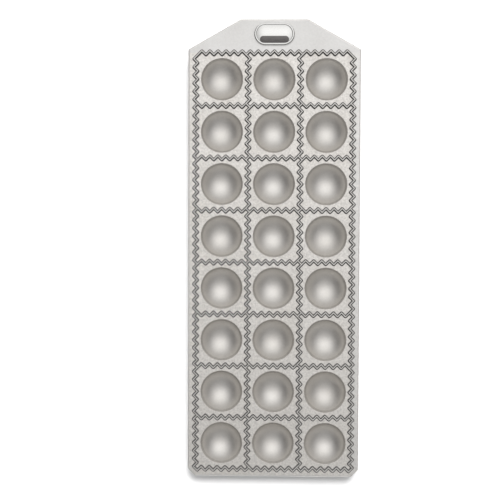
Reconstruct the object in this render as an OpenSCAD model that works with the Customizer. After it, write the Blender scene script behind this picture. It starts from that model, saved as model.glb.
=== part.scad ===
// Ravioli mold: a cast tray of round pockets, each framed by raised wavy cutting ridges,
// with a shaped head that carries a small polished plate, standing on four push-in feet.
// Millimetres. +Z is up, z = 0 is the underside of the feet, and the head points to +Y.

/* [Ravioli grid] */
// Number of ravioli across the tray
columns = 3; // [2:1:5]
// Number of ravioli along the tray
rows = 8; // [3:1:10]
// Side of one square raviolo, ridge centre to ridge centre
pitch = 35; // [33:0.5:42]

/* [Pockets] */
// Diameter of a pocket at its rim
pocket_d = 27.75; // [22:0.25:28.5]
// Full depth of a pocket below the face
pocket_depth = 8.5; // [6:0.5:9.5]
// Height of the steep wall under the rim, above the bowl
pocket_wall_h = 1; // [0.5:0.1:2]
// How far that wall leans in over its height
pocket_draft = 0.4; // [0.1:0.1:1]

/* [Cutting ridges] */
// Half waves of a ridge along one side of a raviolo
half_waves = 13; // [11:1:15]
// Height of a ridge above the face
ridge_h = 1.8; // [1:0.1:2.4]
// Width of the land that cuts the dough
ridge_land_w = 0.6; // [0.4:0.1:0.9]
// Width of a ridge where it meets the face
ridge_base_w = 2; // [1.4:0.1:2.2]

/* [Casting] */
// Thickness of the face plate
face_t = 2.5; // [2:0.1:3.5]
// Thickness of the skirt
skirt_t = 2.5; // [2:0.1:3.5]
// Thickness of the bowls under the face
bowl_t = 2.2; // [1.5:0.1:2.5]
// Height of the casting from the skirt's rim to the face
casting_h = 14.5; // [13:0.5:20]
// Face left outside the outer ridges at each side
side_margin = 5.25; // [5:0.25:12]
// Face left outside the ridge at the front
front_margin = 5.25; // [5:0.25:12]
// Face between the ridge at the back and the shoulders of the head
shoulder_margin = 2.5; // [2:0.25:12]
// Leg of the cut across each front corner
corner_cut = 4.8; // [3:0.2:8]
// Radius of the round along the upper edge
edge_r = 1.2; // [0.6:0.1:1.8]

/* [Head] */
// Length of the head from its shoulders to its end
head_l = 20; // [18:0.5:30]
// Width of the head's straight end
head_end_w = 45; // [36:1:60]

/* [Polished plate] */
// Length of the plate across the head
badge_l = 27; // [20:0.5:32]
// Width of the plate
badge_w = 15; // [9:0.5:16]
// Thickness of the plate at the foot of its dome
badge_t = 1.2; // [0.8:0.1:2]
// Rise of the plain domed field above that
badge_dome = 1.4; // [0.4:0.1:1.8]
// Radius of the bead around its edge
bead_r = 0.9; // [0.5:0.1:1.2]
// Diameter of the two pins on its back
pin_d = 2.4; // [1.5:0.1:3]
// Distance between the pins
pin_gap = 12; // [8:0.5:16]
// How far the pins show under the face
pin_proud = 0.6; // [0:0.1:1.5]
// Clearance around each pin
pin_clear = 0.05; // [0.02:0.01:0.2]

/* [Feet] */
// Diameter of a foot
foot_d = 12; // [9:0.5:12.5]
// How far a foot stands below the skirt's rim
foot_drop = 3.5; // [2:0.25:6]
// How far a foot is let in above the skirt's rim
foot_recess = 1; // [0.5:0.25:2]
// Radius of the round around the foot's sole
sole_r = 0.8; // [0.3:0.1:1.2]
// Diameter of the foot's stem
stem_d = 5; // [3:0.5:6]
// Length of the stem
stem_l = 6; // [4:0.5:7]
// Wall of the boss around the stem
boss_wall = 3; // [2:0.25:3.5]
// Clearance around the stem and above its end
stem_clear = 0.1; // [0.05:0.05:0.3]
// Distance of each foot's centre inside the outer ridges
foot_in = 4.25; // [4:0.25:8]

/* [Hidden] */
$fn = 72;
eps = 0.01;
// How far a cut runs past the face that it opens
past = 1;

// Heights
rim_z = foot_drop;
face_z = rim_z + casting_h;
boss_z = rim_z + foot_recess;

// Plan of the grid and of the casting, with the middle of the whole length at y = 0
grid_w = columns * pitch;
grid_l = rows * pitch;
tray_w = grid_w + 2 * side_margin;
tray_l = front_margin + grid_l + shoulder_margin + head_l;
front_y = -tray_l / 2;
grid_front_y = front_y + front_margin;
grid_back_y = grid_front_y + grid_l;
shoulder_y = grid_back_y + shoulder_margin;
head_y = shoulder_y + head_l / 2;

// Pocket: a short steep wall above a bowl that is part of a ball
rim_r = pocket_d / 2;
bowl_rim_r = rim_r - pocket_draft;
bowl_depth = pocket_depth - pocket_wall_h;
bowl_r = (bowl_rim_r * bowl_rim_r + bowl_depth * bowl_depth) / (2 * bowl_depth);
bowl_centre = bowl_r - pocket_depth;

// The least difference between forms that would otherwise share a face or a corner
hair = 0.01;

// Ridge: a zigzag at 45 degrees, so crossing ridges share one whole bar. Its ends lap a little way
// into the ridge that they meet, and ridges that meet differ in size by a hair, so that no two of
// their faces lie in one plane.
half_wave = pitch / half_waves;
ridge_root = 0.3;
flank = (ridge_base_w - ridge_land_w) / 2 / ridge_h;
lap = ridge_land_w / 4;

// Ball or barrel that the plate's domed field is part of
dome_r = (badge_w * badge_w / 4 + badge_dome * badge_dome) / (2 * badge_dome);

foot_x = grid_w / 2 - foot_in;
foot_front_y = grid_front_y + foot_in;
foot_rear_y = grid_back_y - foot_in;

aluminium = [0.78, 0.77, 0.75];
polished = [0.86, 0.87, 0.88];
rubber = [0.13, 0.13, 0.14];

// Outline of the casting, counter-clockwise from the front edge
outline = [
    [-tray_w / 2 + corner_cut, front_y],
    [tray_w / 2 - corner_cut, front_y],
    [tray_w / 2, front_y + corner_cut],
    [tray_w / 2, shoulder_y],
    [head_end_w / 2, shoulder_y + head_l],
    [-head_end_w / 2, shoulder_y + head_l],
    [-tray_w / 2, shoulder_y],
    [-tray_w / 2, front_y + corner_cut],
];

function unit(v) = v / norm(v);
function inward(a, b) = let (u = unit(b - a)) [-u[1], u[0]];

// The outline with every side moved in by d
function inset(pts, d) = [
    for (i = [0 : len(pts) - 1])
        let (
            n = len(pts),
            before = inward(pts[(i + n - 1) % n], pts[i]),
            after = inward(pts[i], pts[(i + 1) % n])
        )
        pts[i] + d * (before + after) / (1 + before * after)
];

// Everything inside one side of the outline, with the round along its upper edge. The round's centre
// lies a little less than its radius inside both faces, so it meets each of them at a slight angle.
module inside_of_side(a, b, r) {
    u = b - a;
    far = tray_l + tray_w;
    in = 0.97 * r;
    translate([a[0], a[1], rim_z])
        rotate([0, 0, atan2(u[1], u[0])])
            translate([-far, 0, 0])
                rotate([90, 0, 90])
                    linear_extrude(2 * far)
                        difference() {
                            square([far, casting_h]);
                            difference() {
                                translate([-past, casting_h - in]) square(in + past);
                                translate([in, casting_h - in]) circle(r);
                            }
                        }
}

// The casting's outer form, before it is hollowed out. The rounds of neighbouring sides differ by a
// hair, so that no more than three faces meet at a point.
module block() {
    intersection_for(i = [0 : len(outline) - 1])
        inside_of_side(outline[i], outline[(i + 1) % len(outline)], edge_r + (i % 2) * 2 * hair);
}

module at_pockets() {
    for (c = [0 : columns - 1], r = [0 : rows - 1])
        translate([(c + 0.5) * pitch - grid_w / 2, grid_front_y + (r + 0.5) * pitch, face_z])
            children();
}

module at_feet() {
    for (x = [-foot_x, foot_x], y = [foot_front_y, foot_rear_y])
        translate([x, y, boss_z]) children();
}

module at_pins() {
    for (x = [-pin_gap / 2, pin_gap / 2])
        translate([x, head_y, face_z]) children();
}

// The bowl's ball below the steep wall, grown by a wall thickness
module bowl(grow) {
    rotate_extrude()
        intersection() {
            translate([0, bowl_centre]) circle(bowl_r + grow);
            translate([0, -pocket_depth - grow - past])
                square([bowl_r + grow, pocket_depth + grow + past - pocket_wall_h]);
        }
}

module pocket() {
    translate([0, 0, -pocket_wall_h])
        cylinder(h = pocket_wall_h + eps, r1 = bowl_rim_r, r2 = rim_r + eps * pocket_draft / pocket_wall_h);
    bowl(0);
}

// Hollow under the face, left solid at the bowls and at the bosses for the feet
module underside() {
    difference() {
        translate([0, 0, rim_z - past])
            linear_extrude(casting_h - face_t + past) polygon(inset(outline, skirt_t));
        at_pockets() bowl(bowl_t);
        at_feet() cylinder(h = casting_h, d = stem_d + 2 * boss_wall);
    }
}

// One corner of a ridge: the two points of its blunt outer side, then the point of its inner side,
// w to each side of the zigzag's centre line and z above the face
function corner_points(k, side, w, z) = let (x = (k + 0.5) * half_wave, y = side * half_wave / 2) [
    [x - w * tan(22.5), y + side * w, z],
    [x + w * tan(22.5), y + side * w, z],
    [x, y - side * w * sqrt(2), z],
];

// The square end of a ridge at one of its corners, with way -1 at its first and 1 at its last
function end_points(k, side, w, z, way) =
    let (
        corner = [(k + 0.5) * half_wave, side * half_wave / 2, z],
        along = [way, side, 0] / sqrt(2),
        across = [-way, side, 0] / sqrt(2)
    )
    [
        corner + w * across + (way < 0 ? lap : 0) * along,
        corner + w * across + (way > 0 ? lap : 0) * along,
        corner - w * across + lap * along,
    ];

// A face's corners, turned the other way round where flip is true
function turned(f, flip) = flip ? [for (i = [len(f) - 1 : -1 : 0]) f[i]] : f;

// A wavy ridge along +X, from its corner number first to number last, where side is 1 if corner 0
// points to +Y and -1 if it points to -Y, made smaller by less
module ridge(first, last, side, less) {
    corners = last - first + 1;
    function side_of(k) = side * (k % 2 == 0 ? 1 : -1);
    function points_at(k, w, z) =
        k == first ? end_points(k, side_of(k), w, z, -1)
        : k == last ? end_points(k, side_of(k), w, z, 1)
        : corner_points(k, side_of(k), w, z);
    points = [
        for (k = [first : last])
            each concat(
                points_at(k, ridge_base_w / 2 + ridge_root * flank - less, -ridge_root - less),
                points_at(k, ridge_land_w / 2 - less, ridge_h - less)
            )
    ];
    // Each corner has six points: outer, outer and inner at the root, then the same at the land
    at_corners = [
        for (c = [0 : corners - 1])
            let (p = 6 * c, flip = side_of(first + c) > 0)
            each [
                turned([p + 3, p + 5, p + 4], flip),
                turned([p, p + 1, p + 2], flip),
                turned([p, p + 3, p + 4, p + 1], flip),
            ]
    ];
    along_bars = [
        for (c = [0 : corners - 2])
            let (p = 6 * c, q = p + 6, flip = side_of(first + c) > 0)
            each [
                turned([p + 4, p + 5, q + 3, q + 5], flip),
                turned([p + 1, q + 2, q, p + 2], flip),
                turned([p + 1, p + 4, q + 5, q + 2], flip),
                turned([p + 2, q, q + 3, p + 5], flip),
            ]
    ];
    e = 6 * (corners - 1);
    ends = [
        turned([0, 2, 5, 3], side_of(first) > 0),
        turned([e + 1, e + 4, e + 5, e + 2], side_of(last) > 0),
    ];
    polyhedron(points, concat(at_corners, along_bars, ends));
}

// Whether the bar that two ridges share leans like a slash, at the crossing of the ridge number
// m from the left and the ridge number n from the back
function slash(m, n) = (m + n) * half_waves % 2 == 1;

// How many bars, one or none, turn the outer corner of the grid where ridges m and n meet
function elbow(m, n) = slash(m, n) == ((m == 0) == (n == 0)) ? 1 : 0;

module ridges_across() {
    last = columns * half_waves - 1;
    for (n = [0 : rows])
        translate([-grid_w / 2, grid_back_y - n * pitch, face_z])
            if (n == 0 || n == rows)
                ridge(-elbow(0, n), last + elbow(columns, n), slash(0, n) ? 1 : -1, 0);
            else
                ridge(0, last, slash(0, n) ? 1 : -1, 2 * hair);
}

module ridges_along() {
    last = rows * half_waves - 1;
    for (m = [0 : columns]) {
        outer = m == 0 || m == columns;
        translate([m * pitch - grid_w / 2, grid_back_y, face_z])
            rotate([0, 0, -90])
                ridge(
                    outer ? -elbow(m, 0) : 0,
                    outer ? last + elbow(m, rows) : last,
                    slash(m, 0) ? -1 : 1,
                    hair
                );
    }
}

module tray() {
    color(aluminium) {
        difference() {
            block();
            underside();
            at_pockets() pocket();
            at_feet()
                translate([0, 0, -eps])
                    cylinder(h = stem_l + stem_clear + eps, d = stem_d + 2 * stem_clear);
            at_pins()
                translate([0, 0, -face_t - past])
                    cylinder(h = face_t + 2 * past, d = pin_d + 2 * pin_clear);
        }
        ridges_across();
        ridges_along();
    }
}

// Section of the polished plate from its middle line out to its edge: a domed field inside a bead
module badge_section() {
    square([badge_w / 2, badge_t]);
    translate([badge_w / 2 - bead_r, badge_t]) circle(bead_r);
    intersection() {
        square([badge_w / 2, badge_t + badge_dome + past]);
        translate([0, badge_t + badge_dome - dome_r]) circle(dome_r, $fn = 4 * $fn);
    }
}

module nameplate() {
    run = badge_l - badge_w;
    color(polished) {
        translate([0, head_y, face_z]) {
            for (end = [-1, 1])
                translate([end * run / 2, 0, 0])
                    rotate([0, 0, end * 90 - 180]) rotate_extrude(angle = 180) badge_section();
            translate([-run / 2, 0, 0])
                rotate([90, 0, 90])
                    linear_extrude(run) {
                        badge_section();
                        mirror([1, 0]) badge_section();
                    }
        }
        at_pins() translate([0, 0, -face_t - pin_proud]) cylinder(h = face_t + pin_proud + eps, d = pin_d);
    }
}

// A push-in foot: a round sole under the boss and a stem inside it
module foot(side, y) {
    color(rubber)
        translate([side * foot_x, y, 0]) {
            rotate_extrude() {
                translate([0, sole_r]) square([foot_d / 2, boss_z - sole_r]);
                square([foot_d / 2 - sole_r, boss_z]);
                translate([foot_d / 2 - sole_r, sole_r]) circle(sole_r);
            }
            translate([0, 0, boss_z - eps]) cylinder(h = stem_l + eps, d = stem_d);
        }
}

module foot_front_left() {
    foot(-1, foot_front_y);
}

module foot_front_right() {
    foot(1, foot_front_y);
}

module foot_rear_left() {
    foot(-1, foot_rear_y);
}

module foot_rear_right() {
    foot(1, foot_rear_y);
}

tray();
nameplate();
foot_front_left();
foot_front_right();
foot_rear_left();
foot_rear_right();
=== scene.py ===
import math

import bmesh
import bpy
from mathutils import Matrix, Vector


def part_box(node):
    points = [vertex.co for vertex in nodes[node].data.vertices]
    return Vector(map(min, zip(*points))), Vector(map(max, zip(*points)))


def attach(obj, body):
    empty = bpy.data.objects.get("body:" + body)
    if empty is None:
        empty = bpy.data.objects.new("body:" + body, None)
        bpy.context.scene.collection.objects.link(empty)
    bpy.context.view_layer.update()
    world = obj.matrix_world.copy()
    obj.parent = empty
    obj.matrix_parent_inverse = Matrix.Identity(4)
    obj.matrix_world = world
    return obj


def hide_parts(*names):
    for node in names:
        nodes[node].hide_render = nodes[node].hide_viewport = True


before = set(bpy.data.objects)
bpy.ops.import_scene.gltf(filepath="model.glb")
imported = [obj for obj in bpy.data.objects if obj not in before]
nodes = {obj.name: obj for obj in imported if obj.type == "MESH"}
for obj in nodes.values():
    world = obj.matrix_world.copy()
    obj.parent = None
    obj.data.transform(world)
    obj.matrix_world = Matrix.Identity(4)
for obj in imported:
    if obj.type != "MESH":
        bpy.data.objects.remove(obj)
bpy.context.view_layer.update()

MM = 0.001
WHITE = (1, 1, 1, 1)

# Camera of the photograph: where it stands, how it is turned in degrees, its lens and sensor in mm, and
# the nearest and the farthest that it sees
CAMERA_AT = (0.0107, 0.0340, 0.8238)
CAMERA_TURN = (-2.433, 1.898, 0.197)
CAMERA_LENS = 86.4
CAMERA_SENSOR = 36
CAMERA_RANGE = (0.05, 100)

# The soft light is a broad patch on a wide ceiling, over a dimmer glow. Along X and along Y: where its
# middle lies and how far it reaches, as sines of the angle from straight up, and how suddenly it fades.
CEILING_HEIGHT = 1.6
CEILING_HALF = 12.0
LIGHT_MIDDLE = (0.074, 0.314)
LIGHT_REACH = (0.735, 0.63)
LIGHT_FADE = (2.87, 2.19)
LIGHT_PEAK = 1.11
SKY_LEVEL = 0.41

# A smaller lamp beside it draws the shadow on the floor and lights what is dull: its lean from straight
# up along X and along Y and its width, in degrees, and its strength. The metal doesn't mirror it.
LAMP_LEAN = (6, 26)
LAMP_WIDTH = 19
LAMP_STRENGTH = 4.0

# The floor lights the object as a grey, and is shown brighter, so that it ends up white
FLOOR_HALF = 12.0
FLOOR_LIGHTS_AS = 0.37
FLOOR_SHOWS_AS = 0.656
FLOOR_GLOW = 0.08

# The casting, modelled finer than its CAD solid and in the same form
COLUMNS, ROWS = 3, 8
PITCH = 35 * MM
FRONT_MARGIN = 5.25 * MM
CORNER_CUT = 4.8 * MM
HEAD_LENGTH = 20 * MM
HEAD_END_WIDTH = 45 * MM
CASTING_HEIGHT = 14.5 * MM
FACE_THICKNESS = 2.5 * MM
SKIRT_THICKNESS = 2.5 * MM

# Rounds of its outline and of its edges, with the degrees at which each edge round has a step
CORNER_ROUND = 1.4 * MM
HOLLOW_CORNER_ROUND = 1.6 * MM
CORNER_ROUND_STEPS = 4
EDGE_ROUND = 1.2 * MM
EDGE_STEPS = (0, 18, 36, 54, 72, 88)
RIM_ROUND = 0.5 * MM
RIM_STEPS = (0, 45, 90)
INSIDE_ROUND = 1.0 * MM
INSIDE_STEPS = (0, 30, 60, 88)

# Pockets: a piece of a ball, a leaning wall above it, and a round at the rim that ends almost level
POCKET_RADIUS = 13.875 * MM
POCKET_DEPTH = 8.5 * MM
POCKET_WALL = 1.0 * MM
POCKET_DRAFT = 0.4 * MM
POCKET_SIDES = 60
POCKET_STEPS = 13
POCKET_RIM_ROUND = 0.35 * MM
POCKET_RIM_STEPS = 3
POCKET_RIM_END = 100
POCKET_CUT_FLARE = 0.3 * MM
POCKET_CUT_RISE = 0.05 * MM

# Bowls under the pockets: they end a little below the face plate and flare out into it
BOWL_THICKNESS = 2.2 * MM
BOWL_SIDES = 36
BOWL_STEPS = 9
BOWL_END = 0.4 * MM
BOWL_FLARE = 0.25 * MM
BOWL_LAP = 0.3 * MM

# Ridges. Half of a ridge's section, from its foot inside the plate up to the middle of its land, is
# given as distance from the centre line and height above the face.
HALF_WAVES = 13
HALF_WAVE = PITCH / HALF_WAVES
RIDGE_SECTION = [(w * MM, z * MM) for w, z in (
    (1.22, -0.30), (1.19, -0.02), (1.05, 0.05), (0.94, 0.18), (0.42, 1.50), (0.32, 1.72), (0.15, 1.80),
)]
RIDGE_CORNER_STEPS = 3
RIDGE_LAP = 0.15 * MM

# Bosses and holes for the feet and for the pins of the plate
FOOT_IN = 4.25 * MM
FOOT_RECESS = 1.0 * MM
BOSS_RADIUS = 5.5 * MM
BOSS_CHAMFER = 0.3 * MM
BOSS_SIDES = 32
STEM_HOLE_RADIUS = 2.6 * MM
STEM_HOLE_DEPTH = 6.1 * MM
PIN_HOLE_RADIUS = 1.25 * MM
PIN_GAP = 12 * MM
HOLE_SIDES = 24

# How far a cut runs past the face that it opens, and a step too small to be seen
PAST = 1 * MM
HAIR = 0.01 * MM

# Edges that turn by more degrees than this stay sharp
SHARP_FROM = 38

tray_low, tray_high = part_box("tray")
RIM_Z = tray_low.z
FACE_Z = RIM_Z + CASTING_HEIGHT
HALF_WIDTH = tray_high.x
FRONT_Y, BACK_Y = tray_low.y, tray_high.y
SHOULDER_Y = BACK_Y - HEAD_LENGTH
GRID_FRONT_Y = FRONT_Y + FRONT_MARGIN
GRID_BACK_Y = GRID_FRONT_Y + ROWS * PITCH
GRID_HALF = COLUMNS * PITCH / 2

OUTLINE = [
    Vector((-HALF_WIDTH + CORNER_CUT, FRONT_Y)),
    Vector((HALF_WIDTH - CORNER_CUT, FRONT_Y)),
    Vector((HALF_WIDTH, FRONT_Y + CORNER_CUT)),
    Vector((HALF_WIDTH, SHOULDER_Y)),
    Vector((HEAD_END_WIDTH / 2, BACK_Y)),
    Vector((-HEAD_END_WIDTH / 2, BACK_Y)),
    Vector((-HALF_WIDTH, SHOULDER_Y)),
    Vector((-HALF_WIDTH, FRONT_Y + CORNER_CUT)),
]

# Finishes of the casting: its brightness, how warm its tint is, how much of it is bare metal and not a
# dull skin, its roughness, and the strength of its grain
CAST_FINISHES = {
    "grained_face": (0.637, 1.3, 1.0, 0.41, 0.15),
    "grained_margin": (0.63, 0.8, 1.0, 0.4, 0.1),
    "smooth_head": (0.605, 0.55, 1.0, 0.4, 0.035),
    "satin_pocket": (0.665, 1.2, 1.0, 0.4, 0.03),
    # Painted shade: a darker band in the upper wall of each pocket, just under the rim
    "painted_shade_pocket_wall": (0.56, 1.2, 1.0, 0.45, 0.08),
    # Painted highlight: the outer edge round is made lighter than the margin beside it
    "painted_highlight_edge": (0.75, 0.8, 1.0, 0.45, 0.05),
    "ridge_land": (0.56, 1.0, 1.0, 0.35, 0.05),
    # Painted shade: the flanks of the ridges are made nearly black
    "painted_shade_ridge_flank": (0.08, 1.0, 0.0, 0.8, 0.15),
    "rough_underside": (0.5, 1.0, 1.0, 0.55, 0.1),
}

# Where a finish ends: the height of the band of painted shade under a pocket's rim, and how far upwards a
# face looks, as the Z of its normal, to count as a ridge's land or as the edge's round with its painted
# highlight
PAINTED_SHADE_BAND = 1.7 * MM
LAND_LOOKS_UP = 0.85
EDGE_LOOKS_UP = 0.1

# Noise of the casting, in waves per metre: a fine speckle and slow clouds
SPECKLE_SCALE = 850.0
CLOUD_SCALE = 55.0
NOISE_DETAIL = 3.0
NOISE_RANGE = (0.3, 0.7)

# How much less green and blue than red a tint of warmth 1 has, and how far the clouds vary both that
# warmth and the roughness
WARM_TINT = (0.028, 0.066)
CLOUD_WARMTH = (0.7, 1.3)
CLOUD_ROUGHNESS = 0.03

# Height of the bump of a fine grain, and the strength of the casting's bump for a grain of 1
GRAIN_HEIGHT = 0.1 * MM
CAST_BUMP = 4

# The plate: its metal, and a darkened band along its lower part with faint streaks in it
PLATE_METAL = (0.64, 0.635, 0.62, 1)
PLATE_ROUGHNESS = (0.12, 0.22)
PLATE_SWIRL_SCALE = 300.0
PLATE_SWIRL_DETAIL = 2.0
PLATE_BAND_INSET = 1.6 * MM
PLATE_BAND_HEIGHT = 4.4 * MM
PLATE_BAND_BLUR = 0.1 * MM
PLATE_BAND_COLOURS = ((0.06, 0.055, 0.055, 1), (0.2, 0.19, 0.185, 1))
PLATE_STREAK_STRETCH = (1, 20, 1)
PLATE_STREAK_SCALE = 250.0

# The feet
RUBBER = (0.03, 0.03, 0.032, 1)
RUBBER_ROUGHNESS = (0.6, 0.85)
RUBBER_GRAIN_SCALE = 1800.0
RUBBER_GRAIN_DETAIL = 2.0
RUBBER_BUMP = 0.3


# Materials

class Nodes:
    """A small helper that adds and links the nodes of one material or world."""

    def __init__(self, tree):
        self.tree = tree
        self.tree.nodes.clear()

    def add(self, kind, values=None, **settings):
        """A node of that kind, with its settings, and with values or other nodes' outputs on its inputs."""
        node = self.tree.nodes.new(kind)
        for name, value in settings.items():
            setattr(node, name, value)
        for key, value in (values or {}).items():
            if isinstance(value, bpy.types.NodeSocket):
                self.tree.links.new(value, node.inputs[key])
            else:
                node.inputs[key].default_value = value
        return node

    def math(self, operation, a, b=0.0):
        return self.add("ShaderNodeMath", {0: a, 1: b}, operation=operation).outputs[0]

    def place(self):
        """The place on the object itself."""
        return self.add("ShaderNodeTexCoord").outputs["Object"]

    def noise(self, place, scale, detail):
        values = {"Vector": place, "Scale": scale, "Detail": detail}
        return self.add("ShaderNodeTexNoise", values).outputs["Fac"]

    def spread(self, value, low, high, come_from=(0.0, 1.0)):
        """A value of the range come_from, brought to the range from low to high."""
        values = {"Value": value, "From Min": come_from[0], "From Max": come_from[1],
                  "To Min": low, "To Max": high}
        return self.add("ShaderNodeMapRange", values).outputs[0]

    def blend(self, factor, first, second):
        """The first colour where the factor is 0, and the second where it is 1."""
        values = {"Factor": factor, 6: first, 7: second}
        return self.add("ShaderNodeMix", values, data_type="RGBA").outputs[2]

    def surface(self, values):
        """A plain shader with those values, as the material's surface."""
        shader = self.add("ShaderNodeBsdfPrincipled", values)
        self.add("ShaderNodeOutputMaterial", {"Surface": shader.outputs[0]})


def new_material(name):
    material = bpy.data.materials.new(name)
    material.use_nodes = True
    return material, Nodes(material.node_tree)


def cast_aluminium(name, level, warmth, bare, roughness, grain):
    """Cast metal. Its grain is in the tone and, as a fine bump, in the form."""
    material, g = new_material(name)
    place = g.place()
    speckle = g.noise(place, SPECKLE_SCALE, NOISE_DETAIL)
    cloud = g.noise(place, CLOUD_SCALE, NOISE_DETAIL)
    less_green, less_blue = WARM_TINT
    warmths = [warmth * part for part in CLOUD_WARMTH]
    tint = g.blend(cloud, *[(1.0, 1 - less_green * w, 1 - less_blue * w, 1) for w in warmths])
    shade = g.spread(speckle, level * (1 - grain), level * (1 + grain), NOISE_RANGE)
    colour = g.add("ShaderNodeVectorMath", {0: tint, "Scale": shade}, operation="SCALE").outputs["Vector"]
    rough = g.spread(cloud, roughness - CLOUD_ROUGHNESS, roughness + CLOUD_ROUGHNESS, NOISE_RANGE)
    strength = min(1.0, CAST_BUMP * grain)
    bump = g.add("ShaderNodeBump", {"Height": speckle, "Strength": strength, "Distance": GRAIN_HEIGHT})
    g.surface({"Base Color": colour, "Metallic": bare, "Roughness": rough, "Normal": bump.outputs[0]})
    return material


def polished_plate():
    """Polished metal, with a plain darkened band along the lower part of the plate."""
    low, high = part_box("nameplate")
    material, g = new_material("polished_plate")
    place = g.place()
    swirl = g.noise(place, PLATE_SWIRL_SCALE, PLATE_SWIRL_DETAIL)
    stretch = g.add("ShaderNodeMapping", {"Vector": place, "Scale": PLATE_STREAK_STRETCH})
    streaks = g.noise(stretch.outputs["Vector"], PLATE_STREAK_SCALE, NOISE_DETAIL)
    spot = g.add("ShaderNodeSeparateXYZ", {0: place})
    half_height = PLATE_BAND_HEIGHT / 2
    half_straight = (high.x - low.x) / 2 - PLATE_BAND_INSET - PLATE_BAND_HEIGHT
    off_axis = g.math("ABSOLUTE", spot.outputs["X"])
    past_straight = g.math("MAXIMUM", g.math("SUBTRACT", off_axis, half_straight), 0.0)
    off_middle = g.math("SUBTRACT", spot.outputs["Y"], low.y + PLATE_BAND_INSET + half_height)
    squares = g.math("ADD", g.math("POWER", past_straight, 2.0), g.math("POWER", off_middle, 2.0))
    away = g.math("SQRT", squares)
    inside = g.spread(away, 0.0, 1.0, (half_height + PLATE_BAND_BLUR, half_height - PLATE_BAND_BLUR))
    colour = g.blend(inside, PLATE_METAL, g.blend(streaks, *PLATE_BAND_COLOURS))
    g.surface({"Base Color": colour, "Metallic": 1.0, "Roughness": g.spread(swirl, *PLATE_ROUGHNESS)})
    return material


def foot_rubber():
    material, g = new_material("foot_rubber")
    grain = g.noise(g.place(), RUBBER_GRAIN_SCALE, RUBBER_GRAIN_DETAIL)
    bump = g.add("ShaderNodeBump", {"Height": grain, "Strength": RUBBER_BUMP, "Distance": GRAIN_HEIGHT})
    rough = g.spread(grain, *RUBBER_ROUGHNESS)
    g.surface({"Base Color": RUBBER, "Roughness": rough, "Normal": bump.outputs[0]})
    return material


def dress(name, material):
    """Gives a CAD node its material."""
    mesh = nodes[name].data
    mesh.materials.clear()
    mesh.materials.append(material)


# Meshes

def mesh_object(name, points, faces):
    """A mesh with its faces turned outwards, as an object."""
    mesh = bpy.data.meshes.new(name)
    mesh.from_pydata(points, [], faces)
    shape = bmesh.new()
    shape.from_mesh(mesh)
    bmesh.ops.recalc_face_normals(shape, faces=shape.faces)
    shape.to_mesh(mesh)
    shape.free()
    made = bpy.data.objects.new(name, mesh)
    bpy.context.scene.collection.objects.link(made)
    return made


def ring_faces(first, second, n):
    """Faces between two rings of n points, which start at the points numbered first and second."""
    return [(first + i, first + (i + 1) % n, second + (i + 1) % n, second + i) for i in range(n)]


def stack(name, rings):
    """A solid with those rings of points, closed flat at both ends."""
    n = len(rings[0])
    points = [p for ring in rings for p in ring]
    starts = [r * n for r in range(len(rings))]
    faces = [tuple(range(start, start + n)) for start in (starts[0], starts[-1])]
    for lower, upper in zip(starts, starts[1:]):
        faces += ring_faces(lower, upper, n)
    return mesh_object(name, points, faces)


def turned(name, profile, sides, centres):
    """Copies of a turned solid. The profile is radius and height from its lowest point, on the axis."""
    points, faces = [], []
    for cx, cy, cz in centres:
        tip = len(points)
        points.append((cx, cy, cz + profile[0][1]))
        for r, z in profile[1:]:
            for i in range(sides):
                a = 2 * math.pi * i / sides
                points.append((cx + r * math.cos(a), cy + r * math.sin(a), cz + z))
        starts = [tip + 1 + ring * sides for ring in range(len(profile) - 1)]
        faces += [(tip, starts[0] + (i + 1) % sides, starts[0] + i) for i in range(sides)]
        for lower, upper in zip(starts, starts[1:]):
            faces += ring_faces(lower, upper, sides)
        faces.append(tuple(range(starts[-1], starts[-1] + sides)))
    return mesh_object(name, points, faces)


def combine(target, other, operation):
    """Cuts other from target, or joins it on, and deletes other."""
    step = target.modifiers.new("step", "BOOLEAN")
    step.object = other
    step.operation = operation
    step.solver = "MANIFOLD"
    graph = bpy.context.evaluated_depsgraph_get()
    result = bpy.data.meshes.new_from_object(target.evaluated_get(graph))
    target.modifiers.clear()
    target.data = result
    bpy.data.objects.remove(other)


def arc(centre, radius, start, stop, steps):
    """Points on an arc in the plane of radius and height, angles in degrees."""
    angles = [math.radians(start + (stop - start) * i / steps) for i in range(steps + 1)]
    return [(centre[0] + radius * math.cos(a), centre[1] + radius * math.sin(a)) for a in angles]


def quarter_round(radius, angles):
    """Steps of a quarter round between two planes, each as its distance from the plane where the round
    starts and from the one where it ends."""
    turns = [math.radians(a) for a in angles]
    return [(radius * (1 - math.cos(t)), radius * (1 - math.sin(t))) for t in turns]


def inward(a, b):
    """The direction square to the side from a to b that points into the outline."""
    along = (b - a).normalized()
    return Vector((-along.y, along.x))


def outline_ring(inset, corner, z):
    """The outline moved in by inset, with its corners rounded, as points at height z."""
    points = []
    for before, here, after in zip(OUTLINE[-1:] + OUTLINE[:-1], OUTLINE, OUTLINE[1:] + OUTLINE[:1]):
        n0, n1 = inward(before, here), inward(here, after)
        centre = here + (inset + corner) * (n0 + n1) / (1 + n0.dot(n1))
        start, turn = math.atan2(-n0.y, -n0.x), n0.angle_signed(n1)
        for i in range(CORNER_ROUND_STEPS + 1):
            a = start - turn * i / CORNER_ROUND_STEPS
            points.append((centre.x + corner * math.cos(a), centre.y + corner * math.sin(a), z))
    return points


# The casting

def pocket_centres():
    return [((c + 0.5) * PITCH - GRID_HALF, GRID_FRONT_Y + (r + 0.5) * PITCH, FACE_Z)
            for c in range(COLUMNS) for r in range(ROWS)]


def foot_centres(z):
    ys = (GRID_FRONT_Y + FOOT_IN, GRID_BACK_Y - FOOT_IN)
    return [(side * (GRID_HALF - FOOT_IN), y, z) for side in (-1, 1) for y in ys]


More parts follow.
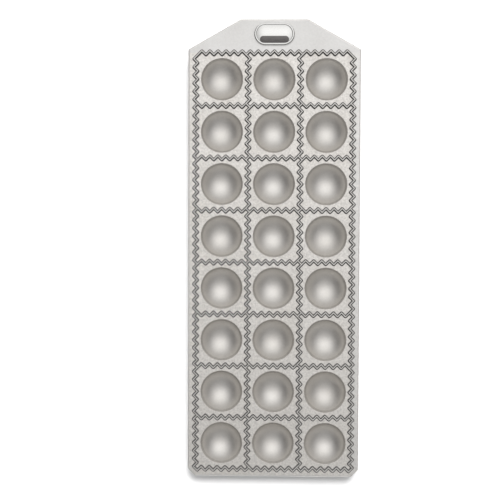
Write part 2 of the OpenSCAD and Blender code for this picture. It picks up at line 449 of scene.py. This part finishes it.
def bowl_ball():
    """Radius of the ball that a pocket's bowl is part of, and its centre's height above the face."""
    rim, depth = POCKET_RADIUS - POCKET_DRAFT, POCKET_DEPTH - POCKET_WALL
    radius = (rim * rim + depth * depth) / (2 * depth)
    return radius, radius - POCKET_DEPTH


def make_block():
    bottom = [(inset, RIM_Z + up) for up, inset in quarter_round(RIM_ROUND, RIM_STEPS)]
    top = [(inset, FACE_Z - down) for inset, down in quarter_round(EDGE_ROUND, EDGE_STEPS)]
    return stack("tray_finish", [outline_ring(inset, CORNER_ROUND - min(inset, EDGE_ROUND), z)
                                 for inset, z in bottom + top])


def make_hollow():
    ceiling = FACE_Z - FACE_THICKNESS
    levels = [(0, RIM_Z - PAST)]
    levels += [(inset, ceiling - down) for inset, down in quarter_round(INSIDE_ROUND, INSIDE_STEPS)]
    return stack("hollow", [outline_ring(SKIRT_THICKNESS + inset, HOLLOW_CORNER_ROUND - inset, z)
                            for inset, z in levels])


def make_bowls():
    ball, centre = bowl_ball()
    outer = ball + BOWL_THICKNESS
    end = math.degrees(math.asin((-FACE_THICKNESS - BOWL_END - centre) / outer))
    profile = arc((0, centre), outer, -90, end, BOWL_STEPS)
    r = profile[-1][0]
    profile += [(r + BOWL_FLARE, -FACE_THICKNESS), (r + 3 * BOWL_FLARE, BOWL_LAP - FACE_THICKNESS)]
    return turned("bowls", profile, BOWL_SIDES, pocket_centres())


def make_pockets():
    ball, centre = bowl_ball()
    end = -math.degrees(math.acos((POCKET_RADIUS - POCKET_DRAFT) / ball))
    profile = arc((0, centre), ball, -90, end, POCKET_STEPS)
    slope = math.degrees(math.atan(POCKET_DRAFT / POCKET_WALL))
    corner = (POCKET_RADIUS + POCKET_RIM_ROUND, -POCKET_RIM_ROUND)
    profile += arc(corner, POCKET_RIM_ROUND, 180 - slope, POCKET_RIM_END, POCKET_RIM_STEPS)
    mouth = profile[-1][0] + POCKET_CUT_FLARE
    profile += [(mouth, POCKET_CUT_RISE), (mouth, PAST)]
    return turned("pockets", profile, POCKET_SIDES, pocket_centres())


def make_bosses():
    side = [(BOSS_RADIUS - BOSS_CHAMFER, 0), (BOSS_RADIUS, BOSS_CHAMFER), (BOSS_RADIUS, CASTING_HEIGHT)]
    return turned("bosses", [(0, 0)] + side, BOSS_SIDES, foot_centres(RIM_Z + FOOT_RECESS))


def make_stem_holes():
    profile = [(0, -PAST), (STEM_HOLE_RADIUS, -PAST), (STEM_HOLE_RADIUS, STEM_HOLE_DEPTH)]
    return turned("stem_holes", profile, HOLE_SIDES, foot_centres(RIM_Z + FOOT_RECESS))


def make_pin_holes():
    profile = [(0, -2 * FACE_THICKNESS), (PIN_HOLE_RADIUS, -2 * FACE_THICKNESS), (PIN_HOLE_RADIUS, PAST)]
    centres = [(side * PIN_GAP / 2, (SHOULDER_Y + BACK_Y) / 2, FACE_Z) for side in (-1, 1)]
    return turned("pin_holes", profile, HOLE_SIDES, centres)


def make_ridges(name, runs):
    """Wavy ridges. A run is where its line starts, the direction that it runs in, its first and last
    corner, the side that corner 0 points to, and how much smaller it is made."""
    points, faces = [], []
    for start, direction, first, last, side, less in runs:
        across = Vector((-direction.y, direction.x))

        def column(x, y, to_x, to_y):
            """Half a section, as the numbers of its points, on the side of the line that the step to_x,
            to_y leads to."""
            for w, z in RIDGE_SECTION:
                spot = start + (x + (w - less) * to_x) * direction + (y + (w - less) * to_y) * across
                points.append((spot.x, spot.y, FACE_Z + z - less))
            return list(range(len(points) - len(RIDGE_SECTION), len(points)))

        previous = None
        for k in range(first, last + 1):
            way = side * (1 if k % 2 == 0 else -1)
            x, y = (k + 0.5) * HALF_WAVE, way * HALF_WAVE / 2
            if k in (first, last):
                # A square end, lapped a little way into what it meets
                bar = Vector((1, -way if k == first else way)) * math.sqrt(0.5)
                middle = Vector((x, y)) + (-RIDGE_LAP if k == first else RIDGE_LAP) * bar
                left = column(*middle, -bar.y, bar.x)
                right = column(*middle, bar.y, -bar.x)
                faces.append(tuple(left + right[::-1]))
                rings = [(left, right)]
            else:
                # A corner, rounded on its outer side
                inner = column(x, y, 0, -way * math.sqrt(2))
                rings = []
                for j in range(RIDGE_CORNER_STEPS + 1):
                    a = math.radians(135 - 90 * j / RIDGE_CORNER_STEPS)
                    outer = column(x, y, math.cos(a), way * math.sin(a))
                    rings.append((outer, inner) if way > 0 else (inner, outer))
            for left, right in rings:
                if previous:
                    was_left, was_right = previous
                    for a, b in ((was_left, left), (was_right, right)):
                        if a is not b:
                            faces += [(a[i], a[i + 1], b[i + 1], b[i]) for i in range(len(a) - 1)]
                    for i in (-1, 0):
                        around = (was_left[i], left[i], right[i], was_right[i])
                        faces.append(tuple(dict.fromkeys(around)))
                previous = (left, right)
    return mesh_object(name, points, faces)


def slash(m, n):
    """Whether the bar that two ridges share leans like a slash, where ridge m from the left meets
    ridge n from the back."""
    return (m + n) * HALF_WAVES % 2 == 1


def elbow(m, n):
    """How many bars turn the outer corner of the grid where ridges m and n meet."""
    return 1 if slash(m, n) == ((m == 0) == (n == 0)) else 0


def ridges_across():
    """The ridges along X. Those inside the grid are a hair smaller than the ones that they cross, so
    that no two faces lie in one plane."""
    last = COLUMNS * HALF_WAVES - 1
    runs = []
    for n in range(ROWS + 1):
        border = n in (0, ROWS)
        start = Vector((-GRID_HALF, GRID_BACK_Y - n * PITCH))
        side = 1 if slash(0, n) else -1
        ends = (-elbow(0, n), last + elbow(COLUMNS, n)) if border else (0, last)
        runs.append((start, Vector((1, 0)), *ends, side, 0 if border else 2 * HAIR))
    return make_ridges("ridges_across", runs)


def ridges_along():
    last = ROWS * HALF_WAVES - 1
    runs = []
    for m in range(COLUMNS + 1):
        start = Vector((m * PITCH - GRID_HALF, GRID_BACK_Y))
        side = -1 if slash(m, 0) else 1
        border = m in (0, COLUMNS)
        ends = (-elbow(m, 0), last + elbow(m, ROWS)) if border else (0, last)
        runs.append((start, Vector((0, -1)), *ends, side, HAIR))
    return make_ridges("ridges_along", runs)


def make_tray():
    tray = make_block()
    hollow = make_hollow()
    combine(hollow, make_bowls(), "DIFFERENCE")
    combine(hollow, make_bosses(), "DIFFERENCE")
    combine(tray, hollow, "DIFFERENCE")
    combine(tray, make_pockets(), "DIFFERENCE")
    combine(tray, make_stem_holes(), "DIFFERENCE")
    combine(tray, make_pin_holes(), "DIFFERENCE")
    combine(tray, ridges_across(), "UNION")
    combine(tray, ridges_along(), "UNION")
    tray.data.shade_smooth()
    tray.data.set_sharp_from_angle(angle=math.radians(SHARP_FROM))
    tray.modifiers.new("even", "WEIGHTED_NORMAL").keep_sharp = True
    return tray


def depth_inside(x, y):
    """How far a point of the plan lies inside the outline of the casting."""
    return min((Vector((x, y)) - a).dot(inward(a, b)) for a, b in zip(OUTLINE, OUTLINE[1:] + OUTLINE[:1]))


def cast_finish_at(spot, normal):
    """The finish of the casting where a face of the mesh lies."""
    x, y, z = spot
    in_grid = abs(x) < GRID_HALF and GRID_FRONT_Y < y < GRID_BACK_Y
    from_pocket = math.hypot((x + GRID_HALF) % PITCH - PITCH / 2, (y - GRID_FRONT_Y) % PITCH - PITCH / 2)
    if z > FACE_Z + HAIR:
        # The flanks of the ridges get painted shade
        return "ridge_land" if normal.z > LAND_LOOKS_UP else "painted_shade_ridge_flank"
    if z > FACE_Z - HAIR:
        return "grained_face" if in_grid else "smooth_head" if y > GRID_BACK_Y else "grained_margin"
    if in_grid and from_pocket < POCKET_RADIUS and normal.z > 0:
        # The band just under a pocket's rim gets painted shade
        return "painted_shade_pocket_wall" if z > FACE_Z - PAINTED_SHADE_BAND else "satin_pocket"
    if depth_inside(x, y) > SKIRT_THICKNESS / 2:
        return "grained_face" if normal.z > 0 else "rough_underside"
    # The outer edge round gets a painted highlight
    return "painted_highlight_edge" if normal.z > EDGE_LOOKS_UP else "grained_margin"


def dress_tray(tray):
    """Gives each face of the casting its finish. The mesh is cut first where the head begins, since the
    head and the margins beside the grid share faces."""
    mesh = tray.data
    shape = bmesh.new()
    shape.from_mesh(mesh)
    parts = list(shape.verts) + list(shape.edges) + list(shape.faces)
    bmesh.ops.bisect_plane(shape, geom=parts, plane_co=(0, GRID_BACK_Y, 0), plane_no=(0, 1, 0))
    shape.to_mesh(mesh)
    shape.free()
    mesh.materials.clear()
    names = list(CAST_FINISHES)
    for name in names:
        mesh.materials.append(cast_aluminium(name, *CAST_FINISHES[name]))
    for face in mesh.polygons:
        face.material_index = names.index(cast_finish_at(face.center, face.normal))


# Surroundings

def seen_directly(g):
    """1 for rays from the camera, from a mirror or through glass, and 0 for the rays that light things."""
    path = g.add("ShaderNodeLightPath")
    shown = g.math("MAXIMUM", path.outputs["Is Camera Ray"], path.outputs["Is Glossy Ray"])
    return g.math("MAXIMUM", shown, path.outputs["Is Transmission Ray"])


def flat_sheet(name, half, height):
    """A square sheet of the surroundings."""
    corners = [(-half, -half, height), (half, -half, height), (half, half, height), (-half, half, height)]
    sheet = mesh_object(name, corners, [(0, 1, 2, 3)])
    return sheet


def make_floor():
    floor = flat_sheet("floor", FLOOR_HALF, 0)
    material, g = new_material("pale_floor")
    shown = seen_directly(g)
    glow = g.math("MULTIPLY", shown, FLOOR_GLOW)
    shade = g.math("ADD", g.math("MULTIPLY", shown, FLOOR_SHOWS_AS - FLOOR_LIGHTS_AS), FLOOR_LIGHTS_AS)
    g.surface({"Base Color": shade, "Roughness": 1.0, "Specular IOR Level": 0.0, "Emission Color": WHITE,
               "Emission Strength": glow})
    floor.data.materials.append(material)


def light_level(g, sight):
    """How bright the surroundings are in that direction from the middle of the tray."""
    direction = g.add("ShaderNodeVectorMath", {0: sight}, operation="NORMALIZE").outputs["Vector"]
    sines = g.add("ShaderNodeSeparateXYZ", {0: direction})

    def patch(axis):
        """1 in the middle of the light along that axis, falling to 0 past its reach."""
        away = g.math("ABSOLUTE", g.math("SUBTRACT", sines.outputs[axis], LIGHT_MIDDLE[axis]))
        fall = g.math("POWER", g.math("DIVIDE", away, LIGHT_REACH[axis]), LIGHT_FADE[axis])
        return g.math("POWER", math.exp(-1), fall)

    light = g.math("ADD", g.math("MULTIPLY", patch(1), LIGHT_PEAK), SKY_LEVEL)
    return g.math("MULTIPLY", patch(0), light)


def make_ceiling():
    """The light itself: a ceiling with one large soft glow in it, and the same glow beyond its edges.
    The ceiling doesn't shade the lamp, and the world is dark where the ceiling hides it."""
    ceiling = flat_sheet("ceiling", CEILING_HALF, CEILING_HEIGHT)
    ceiling.visible_shadow = False
    material, g = new_material("ceiling_glow")
    glow = g.add("ShaderNodeEmission", {"Color": WHITE, "Strength": light_level(g, g.place())})
    g.add("ShaderNodeOutputMaterial", {"Surface": glow.outputs[0]})
    ceiling.data.materials.append(material)
    world = bpy.data.worlds.new("studio")
    bpy.context.scene.world = world
    world.use_nodes = True
    g = Nodes(world.node_tree)
    sight = g.add("ShaderNodeTexCoord").outputs["Generated"]
    height = g.add("ShaderNodeSeparateXYZ", {0: sight}).outputs["Z"]
    open_sky = g.math("LESS_THAN", height, CEILING_HEIGHT / math.hypot(CEILING_HALF, CEILING_HEIGHT))
    glow = g.math("MULTIPLY", light_level(g, sight), open_sky)
    sky = g.add("ShaderNodeBackground", {"Color": WHITE, "Strength": glow})
    g.add("ShaderNodeOutputWorld", {"Surface": sky.outputs[0]})


def make_lamp():
    """The smaller lamp. It counts for dull surfaces only."""
    lamp = bpy.data.lights.new("lamp", "SUN")
    lamp.energy = LAMP_STRENGTH
    lamp.angle = math.radians(LAMP_WIDTH)
    holder = bpy.data.objects.new("lamp", lamp)
    shines = Vector([-math.tan(math.radians(a)) for a in LAMP_LEAN] + [-1])
    holder.rotation_euler = shines.to_track_quat("-Z", "Y").to_euler()
    holder.location = (0, 0, 1)
    holder.visible_glossy = False
    bpy.context.scene.collection.objects.link(holder)


def make_camera():
    camera = bpy.data.cameras.new("camera")
    camera.lens = CAMERA_LENS
    camera.sensor_width = CAMERA_SENSOR
    camera.clip_start, camera.clip_end = CAMERA_RANGE
    holder = bpy.data.objects.new("camera", camera)
    holder.location = CAMERA_AT
    holder.rotation_euler = [math.radians(a) for a in CAMERA_TURN]
    bpy.context.scene.collection.objects.link(holder)
    bpy.context.scene.camera = holder


bpy.context.scene.view_settings.view_transform = "Standard"
make_camera()
make_floor()
make_ceiling()
make_lamp()

tray = make_tray()
dress_tray(tray)
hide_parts("tray")
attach(tray, "root")
dress("nameplate", polished_plate())
rubber = foot_rubber()
for name in nodes:
    if name.startswith("foot_"):
        dress(name, rubber)
